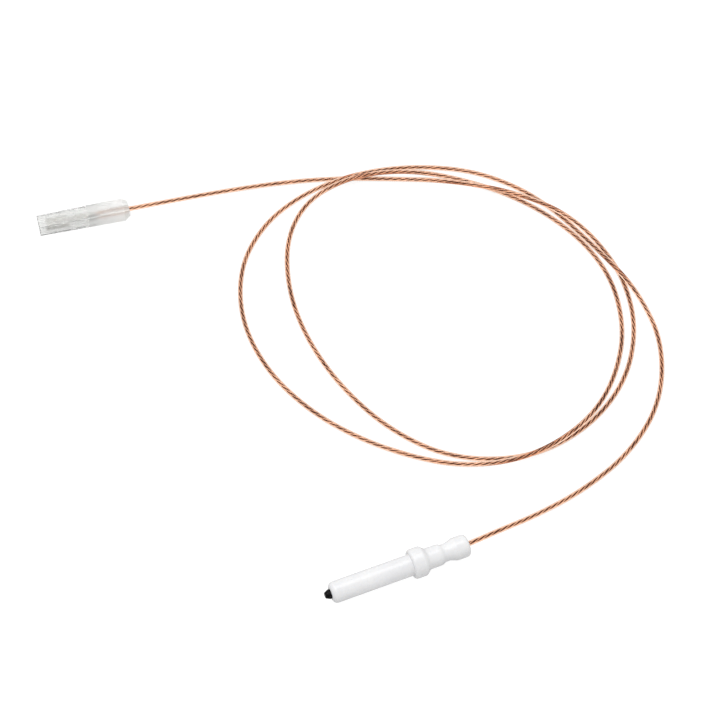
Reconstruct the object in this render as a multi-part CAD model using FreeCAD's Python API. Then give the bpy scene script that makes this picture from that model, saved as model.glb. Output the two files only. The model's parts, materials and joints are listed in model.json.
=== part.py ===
"""Ignition electrode for a gas burner: a glazed ceramic insulator with a metal spark pin, and its lead.

The lead is a stranded copper conductor in clear insulation. It lies on the floor in two and a half loose
loops and ends in a push-on receptacle terminal inside a nylon housing, which slides back along the lead.

Millimetres. The origin is the centre of the collar's front face, on the insulator's axis. +X runs from the
spark tip towards the lead, and +Z is up. The collar and the terminal housing rest on the floor.
"""

import FreeCAD, Part
import math
import os

# ---- insulator, from its front face to its rear face ---------------------------------------------------
BARREL_R = 3.0
BARREL_LENGTH = 23.65
FRONT_FILLET = 1.4
COLLAR_R = 4.2
COLLAR_LENGTH = 3.5
COLLAR_FRONT_FILLET = 0.8
COLLAR_REAR_FILLET = 1.0
SHANK_R = 3.0
SHANK_START = 4.9
SHANK_END = 8.7
WAIST_R = 2.5
WAIST_START = 9.5
WAIST_END = 11.0
BULB_R = 3.2
BULB_START = 13.1
REAR_X = 17.1
REAR_FILLET = 1.2
SHOULDER_BLEND = 2.0
HOLLOW_BLEND = 1.0
FRONT_BORE_R = 1.4
BORE_STEP_X = 1.0
CHAMBER_R = 1.75

# ---- spark pin ----------------------------------------------------------------------------------------
PIN_R = 1.35
PIN_EXPOSED = 1.65
PIN_STRAIGHT = 0.5
TIP_R = 0.8
TIP_FILLET = 0.25
HEAD_R = 1.65
HEAD_LENGTH = 0.8
SPIGOT_R = 0.8
SPIGOT_LENGTH = 3.5

# ---- crimp sleeve that joins the spigot to the conductor ----------------------------------------------
SLEEVE_R = 1.5
SLEEVE_START = 2.0
SLEEVE_LENGTH = 7.2
SLEEVE_WIRE_BORE_R = 0.45
CRIMP_R = 1.25
CRIMP_LENGTH = 1.2

# ---- potting that closes the insulator's rear ---------------------------------------------------------
POTTING_START = 13.2
POTTING_END = 16.8

# ---- lead ---------------------------------------------------------------------------------------------
LEAD_R = 0.75
CONDUCTOR_R = 0.31
INSULATION_BORE_R = 0.33
STRIP_AT_TERMINAL = 4.6
STRIP_AT_PIN = 3.0
ARC_SHARE = 0.45

# ---- receptacle for a 2.8 mm tab, along the first run of the lead, with x = 0 at the housing's mouth ----
SHEET = 0.3
TERMINAL_ROLL = 180.0
TERMINAL_START = 2.3
RECEPTACLE_LENGTH = 7.0
ROLL_R = 0.75
ROLL_Y = 1.15
ROLL_Z = -0.05
NECK_WIDTH = 1.6
NECK_WALL_TOP = 0.1
WIRE_CRIMP_START = 10.8
WIRE_CRIMP_LENGTH = 3.5
WIRE_CRIMP_LOBE_R = 0.5
WIRE_CRIMP_LOBE_Y = 0.32
GRIP_START = 15.1
GRIP_LENGTH = 3.0
GRIP_SEAM = 0.35
DIMPLE_R = 0.5
DIMPLE_HEIGHT = 0.15
LANCE_LENGTH = 2.4
LANCE_WIDTH = 1.0
LANCE_ANGLE = 8.0
INSULATION_START = 15.3

# ---- terminal housing, along the same axis; its section grows from the mouth to the taper --------------
HOUSING_LENGTH = 26.8
MOUTH_WIDTH = 5.45
MOUTH_HEIGHT = 4.0
REAR_WIDTH = 6.05
REAR_HEIGHT = 4.4
TAPER_LENGTH = 1.8
TAPER_DEPTH = 0.9
HOUSING_EDGE = 0.4
HOUSING_RISE = 0.2
TERMINAL_ROOM_WIDTH = 4.3
TERMINAL_ROOM_HEIGHT = 2.9
TERMINAL_ROOM_LENGTH = 19.2
MOUTH_CHAMFER = 0.25
LEAD_HOLE_R = 1.15

# ---- the lead's route, from the terminal to the insulator ----------------------------------------------
# The floor is at z = -COLLAR_R, so a lead lying on it runs at z = -3.45. Where one turn passes over
# another it rises by a little more than its diameter, with a point on each side of the crossing.
ROUTE = [
    (-41.4, 157.95, -2.2), (-20.7, 155.1, -2.2), (-0.3, 152.1, -2.25), (19.2, 149.5, -3.45),
    (37.1, 144.2, -3.45), (52.9, 137.3, -3.45), (68.2, 128.5, -1.8), (81.5, 119.2, -1.7),
    (91.8, 109.0, -1.7), (98.6, 97.9, -1.9), (102.3, 85.8, -3.45), (102.5, 70.8, -3.45),
    (97.1, 52.4, -3.45), (84.7, 35.5, -3.45), (67.1, 24.8, -3.45), (46.5, 21.6, -3.45),
    (26.2, 30.0, -3.45), (13.5, 46.6, -3.45), (6.4, 67.3, -3.45), (4.1, 88.3, -3.45),
    (6.3, 107.8, -3.45), (13.2, 126.4, -3.45), (24.4, 138.0, -2.8), (38.5, 140.8, -1.1),
    (53.9, 138.6, -1.1), (69.9, 132.1, -3.45), (85.9, 116.1, -3.45), (96.5, 96.2, -3.45),
    (99.7, 74.9, -3.45), (94.0, 54.3, -3.45), (83.7, 39.4, -3.45), (71.0, 28.2, -2.0),
    (56.4, 22.4, -1.8), (41.9, 21.5, -1.8), (28.0, 26.7, -3.45), (16.3, 34.8, -3.45),
    (4.5, 46.8, -3.45), (-5.2, 62.0, -3.45), (-11.3, 80.7, -3.45), (-11.4, 101.7, -3.45),
    (-4.0, 121.6, -3.45), (8.9, 134.7, -3.45), (22.5, 140.7, -3.0), (36.0, 142.0, -1.8),
    (49.5, 141.2, -1.8), (63.9, 138.6, -3.45), (78.8, 130.3, -3.45), (90.0, 117.0, -3.45),
    (96.0, 102.9, -3.45), (99.1, 90.3, -3.45), (101.2, 77.3, -1.8), (103.2, 62.8, -1.8),
    (101.8, 44.8, -3.45), (91.0, 25.2, -3.45), (74.2, 12.3, -3.45), (55.7, 5.8, -3.45),
    (39.6, 3.0, -2.8), (27.5, 1.3, -0.8), (17.0, 0.0, 0.1), (9.5, 0.0, 0.0),
]

ORIGIN = FreeCAD.Vector(0, 0, 0)
X_AXIS = FreeCAD.Vector(1, 0, 0)
Y_AXIS = FreeCAD.Vector(0, 1, 0)


# ---- helpers ------------------------------------------------------------------------------------------
def revolved(outline):
    """A solid of revolution about the X axis from a closed outline of (x, radius) points."""
    points = [FreeCAD.Vector(x, 0, r) for x, r in outline]
    face = Part.Face(Part.makePolygon(points + points[:1]))
    return face.revolve(ORIGIN, X_AXIS, 360)


def rod(radius, start, length, y=0.0, z=0.0):
    """A round bar along X."""
    return Part.makeCylinder(radius, length, FreeCAD.Vector(start, y, z), X_AXIS)


def tube(outer_r, inner_r, start, length, y=0.0, z=0.0):
    """A round tube along X."""
    return rod(outer_r, start, length, y, z).cut(rod(inner_r, start, length, y, z))


def block(start, length, width, low, high, y=0.0):
    """A box along X between two heights, centred on y."""
    return Part.makeBox(length, width, high - low, FreeCAD.Vector(start, y - width / 2, low))


def fillet_ring(solid, radius, x, ring_r):
    """Rounds the circular edge of radius ring_r about the X axis, at x."""
    def is_the_ring(edge):
        box = edge.BoundBox
        return max(abs(box.XMin - x), abs(box.XMax - x), abs(box.ZMax - ring_r)) < 1e-3
    return solid.makeFillet(radius, [e for e in solid.Edges if is_the_ring(e)])


def lead_path(route):
    """One wire of straight runs joined by tangent arcs, and the arcs' radii."""
    points = [FreeCAD.Vector(*p) for p in route]
    edges, radii, here = [], [], points[0]
    for before, corner, after in zip(points, points[1:], points[2:]):
        way_in = (corner - before).normalize()
        way_out = (after - corner).normalize()
        turn = way_in.getAngle(way_out)
        trim = ARC_SHARE * min((corner - before).Length, (after - corner).Length)
        inward = (way_out - way_in).normalize()
        arc_start = corner - way_in * trim
        arc_middle = corner + inward * (trim * math.tan(turn / 4))
        arc_end = corner + way_out * trim
        edges.append(Part.LineSegment(here, arc_start).toShape())
        edges.append(Part.Arc(arc_start, arc_middle, arc_end).toShape())
        radii.append(trim / math.tan(turn / 2))
        here = arc_end
    edges.append(Part.LineSegment(here, points[-1]).toShape())
    return Part.Wire(edges), radii


def pipe(route, radius):
    """A round bar that follows a route's path."""
    path = lead_path(route)[0]
    start, second = FreeCAD.Vector(*route[0]), FreeCAD.Vector(*route[1])
    section = Part.Wire([Part.makeCircle(radius, start, second - start)])
    return path.makePipeShell([section], True, False)


def stretched(route, at_start, at_end):
    """The route with its first and last runs made longer in line."""
    first, second = FreeCAD.Vector(*route[0]), FreeCAD.Vector(*route[1])
    before, last = FreeCAD.Vector(*route[-2]), FreeCAD.Vector(*route[-1])
    start = first + (first - second).normalize() * at_start
    end = last + (last - before).normalize() * at_end
    return [tuple(start)] + route[1:-1] + [tuple(end)]


def along_the_lead(shape, rise=0.0, roll=0.0):
    """Moves a shape with x = 0 at the housing's mouth onto the lead's first run; roll is in degrees."""
    first, second = FreeCAD.Vector(*ROUTE[0]), FreeCAD.Vector(*ROUTE[1])
    way = (second - first).normalize()
    mouth = first - way * INSULATION_START + FreeCAD.Vector(0, 0, rise)
    turn = FreeCAD.Rotation(X_AXIS, way).multiply(FreeCAD.Rotation(X_AXIS, roll))
    shape.Placement = FreeCAD.Placement(mouth, turn)
    return shape


# ---- the electrode ------------------------------------------------------------------------------------
def ceramic_insulator():
    """Barrel, collar, shank, waist and rear bulb, with a stepped bore from end to end."""
    front = -BARREL_LENGTH
    body = revolved([
        (front, FRONT_BORE_R), (front, BARREL_R), (0, BARREL_R), (0, COLLAR_R),
        (COLLAR_LENGTH, COLLAR_R), (SHANK_START, SHANK_R), (SHANK_END, SHANK_R),
        (WAIST_START, WAIST_R), (WAIST_END, WAIST_R), (BULB_START, BULB_R), (REAR_X, BULB_R),
        (REAR_X, CHAMBER_R), (BORE_STEP_X, CHAMBER_R), (BORE_STEP_X, FRONT_BORE_R),
    ])
    for x, ring_r, fillet in (
        (front, BARREL_R, FRONT_FILLET), (0, COLLAR_R, COLLAR_FRONT_FILLET),
        (COLLAR_LENGTH, COLLAR_R, COLLAR_REAR_FILLET), (SHANK_START, SHANK_R, HOLLOW_BLEND),
        (SHANK_END, SHANK_R, SHOULDER_BLEND), (WAIST_START, WAIST_R, HOLLOW_BLEND),
        (WAIST_END, WAIST_R, HOLLOW_BLEND), (BULB_START, BULB_R, SHOULDER_BLEND),
        (REAR_X, BULB_R, REAR_FILLET),
    ):
        body = fillet_ring(body, fillet, x, ring_r)
    return body


def electrode_pin():
    """Spark pin: conical tip, shaft, a head against the bore's step and a spigot for the sleeve."""
    tip = -BARREL_LENGTH - PIN_EXPOSED
    cone_end = -BARREL_LENGTH - PIN_STRAIGHT
    head_end = BORE_STEP_X + HEAD_LENGTH
    spigot_end = head_end + SPIGOT_LENGTH
    pin = revolved([
        (tip, 0), (tip, TIP_R), (cone_end, PIN_R), (BORE_STEP_X, PIN_R), (BORE_STEP_X, HEAD_R),
        (head_end, HEAD_R), (head_end, SPIGOT_R), (spigot_end, SPIGOT_R), (spigot_end, 0),
    ])
    return fillet_ring(pin, TIP_FILLET, tip, TIP_R)


def crimp_sleeve():
    """Tube round the pin's spigot at its front and the bare conductor at its rear, crimped on each."""
    end = SLEEVE_START + SLEEVE_LENGTH
    spigot_end = BORE_STEP_X + HEAD_LENGTH + SPIGOT_LENGTH
    sleeve = rod(SLEEVE_R, SLEEVE_START, SLEEVE_LENGTH)
    sleeve = sleeve.cut(rod(SPIGOT_R, SLEEVE_START, spigot_end - SLEEVE_START))
    sleeve = sleeve.cut(rod(SLEEVE_WIRE_BORE_R, spigot_end, end - spigot_end))
    for centre in ((SLEEVE_START + spigot_end) / 2, (spigot_end + end) / 2):
        groove = tube(SLEEVE_R, CRIMP_R, centre - CRIMP_LENGTH / 2, CRIMP_LENGTH)
        sleeve = sleeve.cut(groove)
    return sleeve


def potting(lead):
    """Cement cast round the lead in the insulator's rear."""
    return rod(CHAMBER_R, POTTING_START, POTTING_END - POTTING_START).cut(lead)


# ---- the terminal and its housing ---------------------------------------------------------------------
def rolled_edge(side):
    """An edge of the receptacle's sheet, curled up and over until it faces the tab."""
    roll = tube(ROLL_R, ROLL_R - SHEET, TERMINAL_START, RECEPTACLE_LENGTH, side * ROLL_Y, ROLL_Z)
    opening = block(TERMINAL_START, RECEPTACLE_LENGTH, ROLL_Y, ROLL_Z - ROLL_R, ROLL_Z,
                    y=side * ROLL_Y / 2)
    return roll.cut(opening)


def locking_lance(base_low):
    """Tongue that springs down from the base, behind the receptacle's front edge."""
    start = TERMINAL_START + RECEPTACLE_LENGTH / 2
    lance = block(start, LANCE_LENGTH, LANCE_WIDTH, base_low, base_low + SHEET)
    lance.rotate(FreeCAD.Vector(start, 0, base_low + SHEET), Y_AXIS, LANCE_ANGLE)
    return lance


def contact_dimple(base_high):
    """Bump in the base that presses on the tab."""
    sphere_r = (DIMPLE_R ** 2 + DIMPLE_HEIGHT ** 2) / (2 * DIMPLE_HEIGHT)
    centre = FreeCAD.Vector(TERMINAL_START + RECEPTACLE_LENGTH / 4, 0,
                            base_high + DIMPLE_HEIGHT - sphere_r)
    above = block(TERMINAL_START, RECEPTACLE_LENGTH, 2 * ROLL_Y, base_high - SHEET / 2, ROLL_R)
    return Part.makeSphere(sphere_r, centre).common(above)


def neck(base_low):
    """Channel from the receptacle to the wire crimp."""
    start = TERMINAL_START + RECEPTACLE_LENGTH
    length = WIRE_CRIMP_START - start
    channel = block(start, length, NECK_WIDTH, base_low, NECK_WALL_TOP)
    return channel.cut(block(start, length, NECK_WIDTH - 2 * SHEET, base_low + SHEET, NECK_WALL_TOP))


def wire_crimp(base_low):
    """Two lobes of sheet that fold over the bare conductor and meet in a seam on top."""
    crimp = block(WIRE_CRIMP_START, WIRE_CRIMP_LENGTH, 2 * (WIRE_CRIMP_LOBE_Y + WIRE_CRIMP_LOBE_R),
                  base_low, 0)
    for side in (-1, 1):
        crimp = crimp.fuse(rod(WIRE_CRIMP_LOBE_R, WIRE_CRIMP_START, WIRE_CRIMP_LENGTH,
                               side * WIRE_CRIMP_LOBE_Y, 0))
    return crimp.cut(rod(CONDUCTOR_R, WIRE_CRIMP_START, WIRE_CRIMP_LENGTH))


def insulation_grip():
    """Ring of sheet closed round the insulation, with a seam on top and a tongue to the wire crimp."""
    grip = tube(LEAD_R + SHEET, LEAD_R, GRIP_START, GRIP_LENGTH)
    grip = grip.cut(block(GRIP_START, GRIP_LENGTH, GRIP_SEAM, 0, 2 * LEAD_R))
    crimp_end = WIRE_CRIMP_START + WIRE_CRIMP_LENGTH
    tongue = block(crimp_end, GRIP_START - crimp_end, NECK_WIDTH / 2, -LEAD_R - SHEET, -CONDUCTOR_R)
    return grip.fuse(tongue)


def receptacle_terminal():
    """Stamped receptacle for a tab, crimped on the lead at its rear; made base down, then turned over."""
    base_low = ROLL_Z - ROLL_R
    base_high = base_low + SHEET
    base = block(TERMINAL_START, RECEPTACLE_LENGTH, 2 * ROLL_Y, base_low, base_high)
    pieces = [
        rolled_edge(-1), rolled_edge(1), contact_dimple(base_high), locking_lance(base_low),
        neck(base_low), wire_crimp(base_low), insulation_grip(),
    ]
    return along_the_lead(base.multiFuse(pieces).removeSplitter(), roll=TERMINAL_ROLL)


def terminal_housing():
    """Nylon sleeve: a room in which the terminal lies low, open at the mouth, and a hole for the lead."""
    body = Part.makeLoft([
        rectangle(0, MOUTH_WIDTH, MOUTH_HEIGHT),
        rectangle(HOUSING_LENGTH, REAR_WIDTH, REAR_HEIGHT),
        rectangle(HOUSING_LENGTH + TAPER_LENGTH, REAR_WIDTH - 2 * TAPER_DEPTH,
                  REAR_HEIGHT - 2 * TAPER_DEPTH),
    ], True, True)
    body = body.makeFillet(HOUSING_EDGE, [e for e in body.Edges if e.BoundBox.XLength > 1])
    room_half = TERMINAL_ROOM_HEIGHT / 2
    body = body.cut(block(0, TERMINAL_ROOM_LENGTH, TERMINAL_ROOM_WIDTH, -room_half, room_half))
    mouth = Part.makeLoft([
        rectangle(0, TERMINAL_ROOM_WIDTH + 2 * MOUTH_CHAMFER, TERMINAL_ROOM_HEIGHT + 2 * MOUTH_CHAMFER),
        rectangle(MOUTH_CHAMFER, TERMINAL_ROOM_WIDTH, TERMINAL_ROOM_HEIGHT),
    ], True)
    lead_hole = rod(LEAD_HOLE_R, TERMINAL_ROOM_LENGTH, HOUSING_LENGTH)
    return along_the_lead(body.cut(mouth).cut(lead_hole), HOUSING_RISE)


def rectangle(x, width, height):
    """A closed rectangular wire across the X axis."""
    corners = [FreeCAD.Vector(x, y * width / 2, z * height / 2)
               for y, z in ((-1, -1), (1, -1), (1, 1), (-1, 1))]
    return Part.makePolygon(corners + corners[:1])


# ---- build and export ---------------------------------------------------------------------------------
path, radii = lead_path(ROUTE)
print("lead: %.1f mm long, bends from %.1f to %.1f mm radius" % (path.Length, min(radii), max(radii)))
lead_solid = pipe(ROUTE, LEAD_R)
conductor_route = stretched(ROUTE, STRIP_AT_TERMINAL, STRIP_AT_PIN)
insulation_bore = pipe(conductor_route, INSULATION_BORE_R)
shapes = {
    "ceramic_insulator": ceramic_insulator(),
    "electrode_pin": electrode_pin(),
    "crimp_sleeve": crimp_sleeve(),
    "potting": potting(lead_solid),
    "lead_insulation": lead_solid.cut(insulation_bore),
    "lead_conductor": pipe(conductor_route, CONDUCTOR_R),
    "receptacle_terminal": receptacle_terminal(),
    "terminal_housing": terminal_housing(),
}
print("lead volume %.1f of %.1f mm3" % (lead_solid.Volume, math.pi * LEAD_R ** 2 * path.Length))

os.makedirs("parts", exist_ok=True)
for name, shape in shapes.items():
    assert shape.isValid() and len(shape.Solids) == 1, name
    print("%s: %.2f mm3" % (name, shape.Volume))
    shape.exportStep("parts/%s.step" % name)
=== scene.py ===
"""Looks for the ignition electrode: its lead, its materials, and a plain studio round it.

Metres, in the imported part's own frame: the electrode lies along +X with the origin at its collar's
front face, and the floor is one collar radius below.
"""

import json
import math

import bpy
import numpy as np
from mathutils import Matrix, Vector


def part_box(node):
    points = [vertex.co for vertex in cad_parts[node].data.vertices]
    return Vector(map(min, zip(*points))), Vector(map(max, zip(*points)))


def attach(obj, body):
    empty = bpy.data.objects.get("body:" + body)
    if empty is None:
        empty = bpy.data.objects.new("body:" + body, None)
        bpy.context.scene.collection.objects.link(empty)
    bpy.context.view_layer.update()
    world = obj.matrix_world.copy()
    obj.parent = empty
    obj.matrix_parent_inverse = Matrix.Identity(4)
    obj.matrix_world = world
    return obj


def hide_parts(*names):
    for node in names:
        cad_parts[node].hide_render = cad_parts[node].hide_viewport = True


MM = 0.001

# ---- camera --------------------------------------------------------------------------------------
CAMERA_AZIMUTH = math.radians(-22.764)
CAMERA_ELEVATION = math.radians(52)
CAMERA_DISTANCE = 0.60683
CAMERA_TARGET = Vector((0.015996, 0.073903, -0.0042))
FIELD_OF_VIEW = math.radians(20)
NEAREST_SEEN = 10 * MM

# ---- lights --------------------------------------------------------------------------------------
BACKDROP_STRENGTH = 1.02
AMBIENT_STRENGTH = 0.78
OVERHEAD_PLACE = (-0.15, 0.25, 0.95)
OVERHEAD_SIZE = (1.0, 1.0)
OVERHEAD_POWER = 4.9
FLOOR_SIZE = 6.0
FLOOR_GLOW = 0.86
FLOOR_GLOW_REFLECTED = 0.27

# ---- lead: the same route as the CAD lead's, from the terminal to the insulator ------------------
LEAD_R = 0.75 * MM
ROUTE = [
    (-0.0414, 0.15795, -0.0022), (-0.0207, 0.1551, -0.0022), (-0.0003, 0.1521, -0.00225),
    (0.0192, 0.1495, -0.00345), (0.0371, 0.1442, -0.00345), (0.0529, 0.1373, -0.00345),
    (0.0682, 0.1285, -0.0018), (0.0815, 0.1192, -0.0017), (0.0918, 0.109, -0.0017),
    (0.0986, 0.0979, -0.0019), (0.1023, 0.0858, -0.00345), (0.1025, 0.0708, -0.00345),
    (0.0971, 0.0524, -0.00345), (0.0847, 0.0355, -0.00345), (0.0671, 0.0248, -0.00345),
    (0.0465, 0.0216, -0.00345), (0.0262, 0.03, -0.00345), (0.0135, 0.0466, -0.00345),
    (0.0064, 0.0673, -0.00345), (0.0041, 0.0883, -0.00345), (0.0063, 0.1078, -0.00345),
    (0.0132, 0.1264, -0.00345), (0.0244, 0.138, -0.0028), (0.0385, 0.1408, -0.0011),
    (0.0539, 0.1386, -0.0011), (0.0699, 0.1321, -0.00345), (0.0859, 0.1161, -0.00345),
    (0.0965, 0.0962, -0.00345), (0.0997, 0.0749, -0.00345), (0.094, 0.0543, -0.00345),
    (0.0837, 0.0394, -0.00345), (0.071, 0.0282, -0.002), (0.0564, 0.0224, -0.0018),
    (0.0419, 0.0215, -0.0018), (0.028, 0.0267, -0.00345), (0.0163, 0.0348, -0.00345),
    (0.0045, 0.0468, -0.00345), (-0.0052, 0.062, -0.00345), (-0.0113, 0.0807, -0.00345),
    (-0.0114, 0.1017, -0.00345), (-0.004, 0.1216, -0.00345), (0.0089, 0.1347, -0.00345),
    (0.0225, 0.1407, -0.003), (0.036, 0.142, -0.0018), (0.0495, 0.1412, -0.0018),
    (0.0639, 0.1386, -0.00345), (0.0788, 0.1303, -0.00345), (0.09, 0.117, -0.00345),
    (0.096, 0.1029, -0.00345), (0.0991, 0.0903, -0.00345), (0.1012, 0.0773, -0.0018),
    (0.1032, 0.0628, -0.0018), (0.1018, 0.0448, -0.00345), (0.091, 0.0252, -0.00345),
    (0.0742, 0.0123, -0.00345), (0.0557, 0.0058, -0.00345), (0.0396, 0.003, -0.0028),
    (0.0275, 0.0013, -0.0008), (0.017, 0.0, 0.0001), (0.0095, 0.0, 0.0),
]
ROUTE_STEPS = 16
BEVEL_STEPS = 6

# ---- copper strands, twisted together so that each touches its neighbours ------------------------
CONDUCTOR_R = 0.31 * MM
STRANDS = 3
STRAND_LAY = 7.35 * MM
STRAND_STEP = 0.45 * MM
STRAND_SIDES = 12
STRIP_AT_TERMINAL = 4.6 * MM
STRIP_AT_PIN = 3.0 * MM

# ---- nylon sleeve: where it turns milky, past the front of the lead's insulation -----------------
MILKY_START = (-0.1 * MM, 5.9 * MM)

# ---- terminal: painted shade on its flanks, by distance from its middle, and on its grip, by distance past the front of the insulation
ROLL_FLANK = (1.4 * MM, 1.65 * MM)
# grey painted shade on the outer flanks of the rolled edges
ROLL_FLANK_SHADE = (0.46, 0.45, 0.42)
GRIP_FLANK = (0.45 * MM, 0.75 * MM)
# near-black painted shade on the flanks of the insulation grip
GRIP_FLANK_SHADE = (0.12, 0.11, 0.10)
GRIP_START = (0.3 * MM, 0.7 * MM)


# ---- camera, floor and lights --------------------------------------------------------------------
def add_camera():
    data = bpy.data.cameras.new("camera")
    data.angle = FIELD_OF_VIEW
    data.clip_start = NEAREST_SEEN
    camera = bpy.data.objects.new("camera", data)
    bpy.context.scene.collection.objects.link(camera)
    away = Vector((
        math.sin(CAMERA_AZIMUTH) * math.cos(CAMERA_ELEVATION),
        -math.cos(CAMERA_AZIMUTH) * math.cos(CAMERA_ELEVATION),
        math.sin(CAMERA_ELEVATION),
    ))
    camera.location = CAMERA_TARGET + away * CAMERA_DISTANCE
    camera.rotation_euler = (-away).to_track_quat("-Z", "Y").to_euler()
    bpy.context.scene.camera = camera


def add_world():
    """An even dome of light, which the camera sees as white."""
    world = bpy.data.worlds.new("studio")
    bpy.context.scene.world = world
    world.use_nodes = True
    tree = world.node_tree
    ambient = tree.nodes["Background"]
    ambient.inputs["Color"].default_value = (1, 1, 1, 1)
    ambient.inputs["Strength"].default_value = AMBIENT_STRENGTH
    backdrop = tree.nodes.new("ShaderNodeBackground")
    backdrop.inputs["Color"].default_value = (1, 1, 1, 1)
    backdrop.inputs["Strength"].default_value = BACKDROP_STRENGTH
    mix = tree.nodes.new("ShaderNodeMixShader")
    path = tree.nodes.new("ShaderNodeLightPath")
    tree.links.new(path.outputs["Is Camera Ray"], mix.inputs["Fac"])
    tree.links.new(ambient.outputs["Background"], mix.inputs[1])
    tree.links.new(backdrop.outputs["Background"], mix.inputs[2])
    tree.links.new(mix.outputs["Shader"], tree.nodes["World Output"].inputs["Surface"])


def add_overhead_light():
    data = bpy.data.lights.new("overhead", "AREA")
    data.shape = "RECTANGLE"
    data.size, data.size_y = OVERHEAD_SIZE
    data.energy = OVERHEAD_POWER
    light = bpy.data.objects.new("overhead", data)
    bpy.context.scene.collection.objects.link(light)
    light.location = OVERHEAD_PLACE
    light.rotation_euler = (CAMERA_TARGET - Vector(OVERHEAD_PLACE)).to_track_quat("-Z", "Y").to_euler()


def add_floor(height):
    bpy.ops.mesh.primitive_plane_add(size=FLOOR_SIZE, location=(0, 0, height))
    floor = bpy.context.object
    floor.name = "floor"
    floor.data.materials.append(pale_floor())


# ---- node helpers --------------------------------------------------------------------------------
def new_material(name, sockets):
    """A material with the Principled shader's sockets set by name, its shader and its node tree."""
    material = bpy.data.materials.new(name)
    material.use_nodes = True
    shader = material.node_tree.nodes["Principled BSDF"]
    for socket, value in sockets.items():
        shader.inputs[socket].default_value = value
    return material, shader, material.node_tree


def turned_place(tree, turn):
    """A point's place in the part's frame, turned about Z."""
    coordinates = tree.nodes.new("ShaderNodeTexCoord")
    rotation = tree.nodes.new("ShaderNodeMapping")
    rotation.inputs["Rotation"].default_value = (0, 0, turn)
    tree.links.new(coordinates.outputs["Object"], rotation.inputs["Vector"])
    return rotation.outputs["Vector"]


def noise(tree, size, detail, stretch=(1, 1, 1), turn=0.0):
    """Noise with lumps of about the given size, drawn out by the stretch along the turned axes."""
    mapping = tree.nodes.new("ShaderNodeMapping")
    mapping.inputs["Scale"].default_value = tuple(1 / (size * s) for s in stretch)
    texture = tree.nodes.new("ShaderNodeTexNoise")
    texture.inputs["Scale"].default_value = 1.0
    texture.inputs["Detail"].default_value = detail
    tree.links.new(turned_place(tree, turn), mapping.inputs["Vector"])
    tree.links.new(mapping.outputs["Vector"], texture.inputs["Vector"])
    return texture.outputs["Fac"]


def place_along(tree, turn):
    """A point's place along the axis that the turn brings onto X."""
    parts = tree.nodes.new("ShaderNodeSeparateXYZ")
    tree.links.new(turned_place(tree, turn), parts.inputs["Vector"])
    return parts.outputs["X"]


def gap_to(tree, value, middle):
    """How far a value is from the middle, on either side."""
    difference = tree.nodes.new("ShaderNodeMath")
    difference.operation = "SUBTRACT"
    difference.inputs[1].default_value = middle
    size = tree.nodes.new("ShaderNodeMath")
    size.operation = "ABSOLUTE"
    tree.links.new(value, difference.inputs[0])
    tree.links.new(difference.outputs["Value"], size.inputs[0])
    return size.outputs["Value"]


def rise(tree, value, start, end):
    """From 0 to 1 as a value goes from start to end."""
    span = tree.nodes.new("ShaderNodeMapRange")
    span.inputs["From Min"].default_value = start
    span.inputs["From Max"].default_value = end
    tree.links.new(value, span.inputs["Value"])
    return span.outputs["Result"]


def ramp(tree, factor, stops):
    """Colours or grey values at places from 0 to 1 of a factor."""
    node = tree.nodes.new("ShaderNodeValToRGB")
    elements = node.color_ramp.elements
    while len(elements) < len(stops):
        elements.new(0.5)
    for element, (place, colour) in zip(elements, stops):
        element.position = place
        element.color = (*colour, 1) if isinstance(colour, tuple) else (colour, colour, colour, 1)
    tree.links.new(factor, node.inputs["Fac"])
    return node.outputs["Color"]


def mixed(tree, factor, first, second, blend="MIX"):
    """Two colours mixed by a factor, which is a number or another node's output."""
    node = tree.nodes.new("ShaderNodeMix")
    node.data_type = "RGBA"
    node.blend_type = blend
    if isinstance(factor, float):
        node.inputs["Factor"].default_value = factor
    else:
        tree.links.new(factor, node.inputs["Factor"])
    for socket, colour in (("A", first), ("B", second)):
        target = [i for i in node.inputs if i.name == socket and i.type == "RGBA"][0]
        if isinstance(colour, tuple):
            target.default_value = (*colour, 1)
        else:
            tree.links.new(colour, target)
    return [o for o in node.outputs if o.type == "RGBA"][0]


def add_bump(tree, shader, height, depth, strength):
    """Relief on the shader's normal, whose full height is the depth."""
    node = tree.nodes.new("ShaderNodeBump")
    node.inputs["Strength"].default_value = strength
    node.inputs["Distance"].default_value = depth
    tree.links.new(height, node.inputs["Height"])
    tree.links.new(node.outputs["Normal"], shader.inputs["Normal"])


# ---- materials -----------------------------------------------------------------------------------
def pale_floor():
    """A floor that glows evenly, and less in what it lights and what reflects it."""
    material, shader, tree = new_material("pale_floor", {
        "Base Color": (0.25, 0.25, 0.25, 1),
        "Roughness": 0.9,
        "Specular IOR Level": 0.1,
        "Emission Color": (1, 1, 1, 1),
    })
    path = tree.nodes.new("ShaderNodeLightPath")
    glow = tree.nodes.new("ShaderNodeMapRange")
    glow.inputs["To Min"].default_value = FLOOR_GLOW
    glow.inputs["To Max"].default_value = FLOOR_GLOW_REFLECTED
    tree.links.new(path.outputs["Is Reflection Ray"], glow.inputs["Value"])
    tree.links.new(glow.outputs["Result"], shader.inputs["Emission Strength"])
    return material


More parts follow.
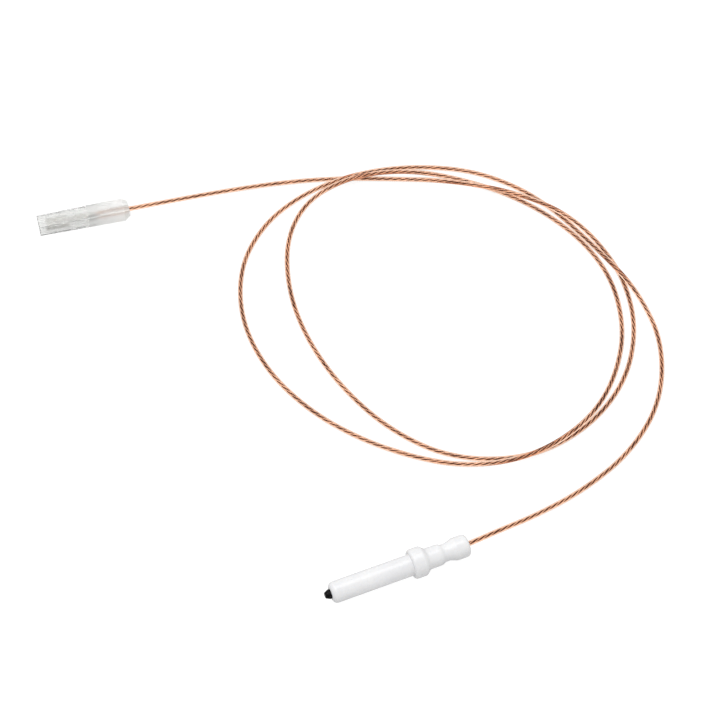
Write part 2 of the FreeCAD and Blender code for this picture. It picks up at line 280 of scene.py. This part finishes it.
def white_glaze():
    """Glazed alumina: faintly clouded body, tiny iron specks, and a glaze with a soft orange peel."""
    material, shader, tree = new_material("white_glaze", {
        "IOR": 1.52,
        "Subsurface Weight": 0.15,
        "Subsurface Radius": (1.0, 0.9, 0.8),
        "Subsurface Scale": 1.0 * MM,
        "Coat Weight": 0.5,
        "Coat Roughness": 0.12,
    })
    clouds = ramp(tree, noise(tree, 5 * MM, 3), [
        (0.35, (0.785, 0.785, 0.80)), (0.65, (0.825, 0.825, 0.83)),
    ])
    specks = ramp(tree, noise(tree, 0.35 * MM, 1), [(0.70, 0.0), (0.78, 1.0)])
    tree.links.new(mixed(tree, specks, clouds, (0.70, 0.69, 0.68)), shader.inputs["Base Color"])
    roughness = ramp(tree, noise(tree, 2 * MM, 2), [(0.3, 0.20), (0.7, 0.34)])
    tree.links.new(roughness, shader.inputs["Roughness"])
    add_bump(tree, shader, noise(tree, 0.9 * MM, 2), 0.02 * MM, 0.5)
    return material


def dark_oxidised_metal():
    """Heat-resisting alloy: a nearly black oxide skin, turned marks under it and a few worn spots."""
    material, shader, tree = new_material("dark_oxidised_metal", {"Metallic": 1.0})
    skin = ramp(tree, noise(tree, 0.5 * MM, 4), [
        (0.35, (0.006, 0.006, 0.007)), (0.60, (0.018, 0.017, 0.018)), (0.75, (0.07, 0.065, 0.065)),
    ])
    tree.links.new(skin, shader.inputs["Base Color"])
    roughness = ramp(tree, noise(tree, 0.3 * MM, 3), [(0.3, 0.26), (0.7, 0.50)])
    tree.links.new(roughness, shader.inputs["Roughness"])
    add_bump(tree, shader, noise(tree, 0.12 * MM, 1, stretch=(1, 12, 12)), 0.01 * MM, 0.6)
    return material


def tinned_brass(name, turn):
    """Rolled sheet with a tin coat: fine streaks along the strip, duller and yellower in patches."""
    material, shader, tree = new_material(name, {"Metallic": 1.0})
    patches = ramp(tree, noise(tree, 1.5 * MM, 3), [
        (0.35, (0.66, 0.65, 0.62)), (0.55, (0.76, 0.75, 0.73)), (0.75, (0.68, 0.63, 0.52)),
    ])
    tree.links.new(patches, shader.inputs["Base Color"])
    streaks = noise(tree, 0.08 * MM, 2, stretch=(25, 1, 1), turn=turn)
    tree.links.new(ramp(tree, streaks, [(0.3, 0.22), (0.7, 0.42)]), shader.inputs["Roughness"])
    add_bump(tree, shader, streaks, 0.004 * MM, 0.6)
    return material


def shade_painted_flanks(material, turn, lead_front):
    """Painted shade on the terminal: the tin darkened to grey on the outer flanks of its rolled edges
    and nearly to black on the flanks of its insulation grip.

    The lead's front is where its insulation starts, along and across the terminal."""
    tree = material.node_tree
    base_colour = tree.nodes["Principled BSDF"].inputs["Base Color"]
    tin = base_colour.links[0].from_socket
    along_front, across_front = lead_front
    outward = gap_to(tree, place_along(tree, turn - math.pi / 2), across_front)
    # painted shade: grey on the rolled edges' outer flanks, and near black on the grip's flanks, where
    # shade falls
    rolled = mixed(tree, rise(tree, outward, *ROLL_FLANK), tin, ROLL_FLANK_SHADE)
    gripped = mixed(tree, rise(tree, outward, *GRIP_FLANK), rolled, GRIP_FLANK_SHADE)
    in_grip = rise(tree, place_along(tree, turn), *(along_front + x for x in GRIP_START))
    tree.links.new(mixed(tree, in_grip, rolled, gripped), base_colour)
    return material


def white_cement():
    """Unglazed potting cement: fine grains and a few pores."""
    material, shader, tree = new_material("white_cement", {"Roughness": 0.85})
    grains = noise(tree, 0.15 * MM, 4)
    tree.links.new(ramp(tree, grains, [(0.3, (0.66, 0.64, 0.60)), (0.6, (0.82, 0.81, 0.78))]),
                   shader.inputs["Base Color"])
    add_bump(tree, shader, grains, 0.06 * MM, 0.8)
    return material


def clear_insulation():
    """Clear fluoropolymer: a little haze, and faint draw marks from the extruder."""
    material, shader, tree = new_material("clear_insulation", {"Transmission Weight": 1.0, "IOR": 1.38})
    tint = ramp(tree, noise(tree, 8 * MM, 2), [(0.3, (0.92, 0.59, 0.42)), (0.7, (0.96, 0.67, 0.51))])
    tree.links.new(tint, shader.inputs["Base Color"])
    roughness = ramp(tree, noise(tree, 1.2 * MM, 3), [(0.3, 0.01), (0.7, 0.06)])
    tree.links.new(roughness, shader.inputs["Roughness"])
    add_bump(tree, shader, noise(tree, 0.8 * MM, 1), 0.01 * MM, 0.15)
    return material


def bare_copper():
    """Copper strands, bright where they stand proud, and darkened nearly to black in the gaps between
    them as painted shade.
    """
    material, shader, tree = new_material("bare_copper", {"Metallic": 1.0})
    gap = tree.nodes.new("ShaderNodeAttribute")
    gap.attribute_name = "gap"
    # painted shade: bright copper on the strands' crests, falling nearly to black the deeper a point
    # lies in the gap between strands
    strand = ramp(tree, gap.outputs["Fac"], [
        (0.0, (1.0, 0.78, 0.62)), (0.14, (0.96, 0.66, 0.49)), (0.24, (0.30, 0.10, 0.05)),
        (0.38, (0.06, 0.016, 0.008)),
    ])
    tarnish = ramp(tree, noise(tree, 6 * MM, 3), [(0.35, (0.50, 0.42, 0.38)), (0.60, (1.0, 1.0, 1.0))])
    tree.links.new(mixed(tree, 1.0, strand, tarnish, "MULTIPLY"), shader.inputs["Base Color"])
    roughness = ramp(tree, noise(tree, 0.6 * MM, 3), [(0.3, 0.25), (0.7, 0.45)])
    tree.links.new(roughness, shader.inputs["Roughness"])
    return material


def natural_nylon(turn, lead_front):
    """Unpigmented nylon with flow lines along the sleeve, milky most of all in the solid part behind."""
    material, shader, tree = new_material("natural_nylon", {
        "Transmission Weight": 0.84,
        "IOR": 1.45,
    })
    flow = noise(tree, 1.0 * MM, 3, stretch=(6, 1, 1), turn=turn)
    tree.links.new(ramp(tree, flow, [(0.3, (0.96, 0.965, 0.955)), (0.7, (0.99, 0.99, 0.98))]),
                   shader.inputs["Base Color"])
    thin_wall = ramp(tree, flow, [(0.3, 0.23), (0.7, 0.31)])
    solid_part = ramp(tree, flow, [(0.3, 0.54), (0.7, 0.64)])
    behind = rise(tree, place_along(tree, turn), *(lead_front[0] + x for x in MILKY_START))
    tree.links.new(mixed(tree, behind, thin_wall, solid_part), shader.inputs["Roughness"])
    add_bump(tree, shader, noise(tree, 0.5 * MM, 2), 0.015 * MM, 0.15)
    return material


# ---- lead ----------------------------------------------------------------------------------------
def add_lead():
    """The lead's insulation: a smooth curve through the route, still without its thickness."""
    curve = bpy.data.curves.new("clear_insulation", "CURVE")
    curve.dimensions = "3D"
    curve.resolution_u = ROUTE_STEPS
    spline = curve.splines.new("NURBS")
    spline.points.add(len(ROUTE) - 1)
    for point, place in zip(spline.points, ROUTE):
        point.co = (*place, 1)
    spline.order_u = 3
    spline.use_endpoint_u = True
    lead = bpy.data.objects.new("clear_insulation", curve)
    bpy.context.scene.collection.objects.link(lead)
    return lead


def centre_line(lead):
    """Points along the lead's smooth line, with the stripped ends added in line."""
    bpy.context.view_layer.update()
    mesh = bpy.data.meshes.new_from_object(lead)
    points = np.array([v.co for v in mesh.vertices])
    bpy.data.meshes.remove(mesh)
    start = points[0] + unit(points[0] - points[1]) * STRIP_AT_TERMINAL
    end = points[-1] + unit(points[-1] - points[-2]) * STRIP_AT_PIN
    return np.vstack([start, points, end])


def unit(vectors):
    return vectors / np.linalg.norm(vectors, axis=-1, keepdims=True)


def evenly_spaced(points, step):
    """Points step apart along a line, their distances along it and the line's directions there."""
    along = np.concatenate([[0], np.cumsum(np.linalg.norm(np.diff(points, axis=0), axis=1))])
    distance = np.linspace(0, along[-1], round(along[-1] / step) + 1)
    places = np.stack([np.interp(distance, along, points[:, i]) for i in range(3)], 1)
    return places, distance, unit(np.gradient(places, axis=0))


def tube_mesh(centres, side, up, radius, sides):
    """Vertices and faces of a closed tube of round sections."""
    angles = np.linspace(0, 2 * math.pi, sides, endpoint=False)
    across = np.cos(angles)[None, :, None] * side[:, None]
    upward = np.sin(angles)[None, :, None] * up[:, None]
    vertices = (centres[:, None] + radius * (across + upward)).reshape(-1, 3)
    rows = len(centres)
    faces = [
        (row * sides + k, row * sides + (k + 1) % sides,
         (row + 1) * sides + (k + 1) % sides, (row + 1) * sides + k)
        for row in range(rows - 1) for k in range(sides)
    ]
    faces.append(tuple(range(sides))[::-1])
    faces.append(tuple((rows - 1) * sides + k for k in range(sides)))
    return vertices, faces


def depth_in_gap(vertices, centres, touching):
    """0 where a strand stands proud of the bundle, rising to 1 where two strands touch."""
    sides = len(vertices) // len(centres)
    distance = np.linalg.norm(vertices - np.repeat(centres, sides, axis=0), axis=1)
    return np.clip((CONDUCTOR_R - distance) / (CONDUCTOR_R - touching), 0, 1)


def add_strands(lead):
    """The stranded conductor, twisted round the lead's centre line."""
    half_turn = math.pi / STRANDS
    strand_r = CONDUCTOR_R / (1 + 1 / math.sin(half_turn))
    offset = CONDUCTOR_R - strand_r
    centres, distance, way = evenly_spaced(centre_line(lead), STRAND_STEP)
    side = unit(np.cross((0, 0, 1), way))
    up = np.cross(way, side)
    vertices, faces, gaps = [], [], []
    for strand in range(STRANDS):
        turn = -2 * math.pi * (distance / STRAND_LAY + strand / STRANDS)
        line = centres + offset * (np.cos(turn)[:, None] * side + np.sin(turn)[:, None] * up)
        tube_vertices, tube_faces = tube_mesh(line, side, up, strand_r, STRAND_SIDES)
        first = sum(len(v) for v in vertices)
        vertices.append(tube_vertices)
        gaps.append(depth_in_gap(tube_vertices, centres, offset * math.cos(half_turn)))
        faces += [tuple(first + i for i in face) for face in tube_faces]
    mesh = bpy.data.meshes.new("copper_strands")
    mesh.from_pydata(np.vstack(vertices).tolist(), [], faces)
    # the gap depth drives the painted shade between the strands in the copper's colour
    mesh.attributes.new("gap", "FLOAT", "POINT").data.foreach_set("value", np.concatenate(gaps))
    mesh.shade_smooth()
    strands = bpy.data.objects.new("copper_strands", mesh)
    bpy.context.scene.collection.objects.link(strands)
    return strands


# ---- the scene -----------------------------------------------------------------------------------
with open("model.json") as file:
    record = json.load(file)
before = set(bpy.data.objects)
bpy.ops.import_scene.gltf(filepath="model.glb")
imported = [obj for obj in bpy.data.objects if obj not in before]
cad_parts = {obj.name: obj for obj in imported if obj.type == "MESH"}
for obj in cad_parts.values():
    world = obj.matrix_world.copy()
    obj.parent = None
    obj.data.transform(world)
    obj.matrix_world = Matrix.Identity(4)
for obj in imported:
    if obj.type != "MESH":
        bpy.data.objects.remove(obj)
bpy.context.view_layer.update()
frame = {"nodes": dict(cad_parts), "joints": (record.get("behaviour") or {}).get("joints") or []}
sleeve_axis = Vector(frame["joints"][0]["axis"])
sleeve_across = Vector((-sleeve_axis.y, sleeve_axis.x, 0))
sleeve_turn = -math.atan2(sleeve_axis.y, sleeve_axis.x)
lead_front = (sleeve_axis.dot(Vector(ROUTE[0])), sleeve_across.dot(Vector(ROUTE[0])))
add_camera()
lead = add_lead()
strands = add_strands(lead)
lead.data.bevel_depth = LEAD_R
lead.data.bevel_resolution = BEVEL_STEPS
lead.data.use_fill_caps = True
lead.data.materials.append(clear_insulation())
strands.data.materials.append(bare_copper())
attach(lead, "root")
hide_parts("lead_insulation")
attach(strands, "root")
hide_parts("lead_conductor")

looks = {
    "ceramic_insulator": white_glaze(),
    "electrode_pin": dark_oxidised_metal(),
    "crimp_sleeve": tinned_brass("tinned_sleeve", 0.0),
    "potting": white_cement(),
    # the terminal's tin, with painted shade on its flanks and grip
    "receptacle_terminal": shade_painted_flanks(
        tinned_brass("tinned_terminal", sleeve_turn), sleeve_turn, lead_front),
    "terminal_housing": natural_nylon(sleeve_turn, lead_front),
}
for node, material in looks.items():
    slots = frame["nodes"][node].data.materials
    slots.clear()
    slots.append(material)

add_world()
add_overhead_light()
add_floor(min(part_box("ceramic_insulator")[0].z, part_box("terminal_housing")[0].z))
bpy.context.scene.view_settings.view_transform = "Standard"
